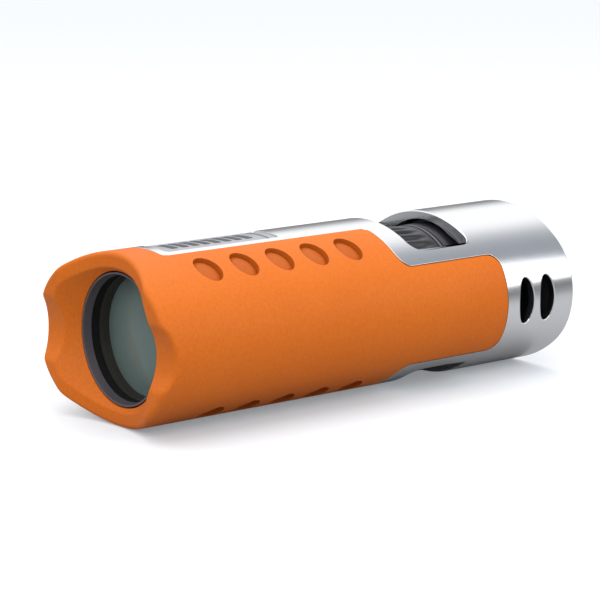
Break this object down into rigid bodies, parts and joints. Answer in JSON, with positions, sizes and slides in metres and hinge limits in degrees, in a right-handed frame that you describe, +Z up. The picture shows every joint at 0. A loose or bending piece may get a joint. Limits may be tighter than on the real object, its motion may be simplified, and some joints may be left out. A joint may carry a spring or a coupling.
{
  "type": "monocular",
  "caption": "Pocket roof-prism monocular with an oval metal shell, soft grip sleeve, scalloped lens hood and a focus wheel turned through windows in the shell.",
  "frame": {"origin": "middle of the underside of the bounding box, on the surface that the monocular lies on", "axes": "+Y along the optical axis towards the eye, +Z up, +X to the side with the strap slots"},
  "size_m": [0.0396, 0.0956, 0.031],
  "materials": {
    "silver_shell": "satin",
    "orange_rubber": "matte, fine grained",
    "grey_plate": "satin",
    "black_plastic": "matte",
    "black_anodised": "black anodised",
    "black_rubber": "matte",
    "bright_trim": "polished",
    "coated_glass": "polished, green anti-reflection coating",
    "eyepiece_glass": "polished",
    "prism_glass": "polished",
    "spring_steel": "brushed",
    "screw_steel": "satin",
    "washer_nylon": "matte"
  },
  "bodies": {
    "housing": {"body_shell": "silver_shell", "grip_sleeve": "orange_rubber", "name_plate": "grey_plate", "front_bulkhead": "black_plastic", "objective_ring": "black_anodised", "objective_cell": "black_anodised", "objective_crown_lens": "coated_glass", "objective_flint_lens": "coated_glass", "lens_clamp_ring": "black_anodised", "light_baffle": "black_anodised", "prism_housing": "black_plastic", "half_penta_prism": "prism_glass", "roof_prism": "prism_glass", "prism_clamp": "spring_steel", "prism_clamp_screws": "screw_steel", "rear_barrel": "black_anodised", "barrel_screws": "screw_steel", "friction_washer": "washer_nylon", "focus_stop_ring": "black_plastic", "rear_cap": "black_plastic"},
    "focus_wheel": {"focus_ring_core": "black_plastic", "focus_ring_grip": "black_rubber", "focus_trim_ring": "bright_trim"},
    "eyepiece": {"guide_pins": "screw_steel", "eyepiece_carrier": "black_anodised", "field_stop": "black_anodised", "field_lens": "eyepiece_glass", "eyepiece_spacer": "black_anodised", "eye_lens_flint": "eyepiece_glass", "eye_lens_crown": "eyepiece_glass", "eyepiece_ring": "black_anodised", "eyecup": "black_rubber"}
  },
  "joints": [
    {"name": "focus_wheel_turn", "type": "hinge", "parent": "housing", "child": "focus_wheel", "pos_m": [0, 0.0192, 0.0155], "axis": [0, 1, 0], "range_deg": [-30, 150]},
    {"name": "eyepiece_slide", "type": "slide", "parent": "housing", "child": "eyepiece", "axis": [0, 1, 0], "range_m": [-0.00058, 0.00291]}
  ],
  "couplings": [
    {"joint": "focus_wheel_turn", "follows": "eyepiece_slide", "rad_per_m": 897.6}
  ]
}
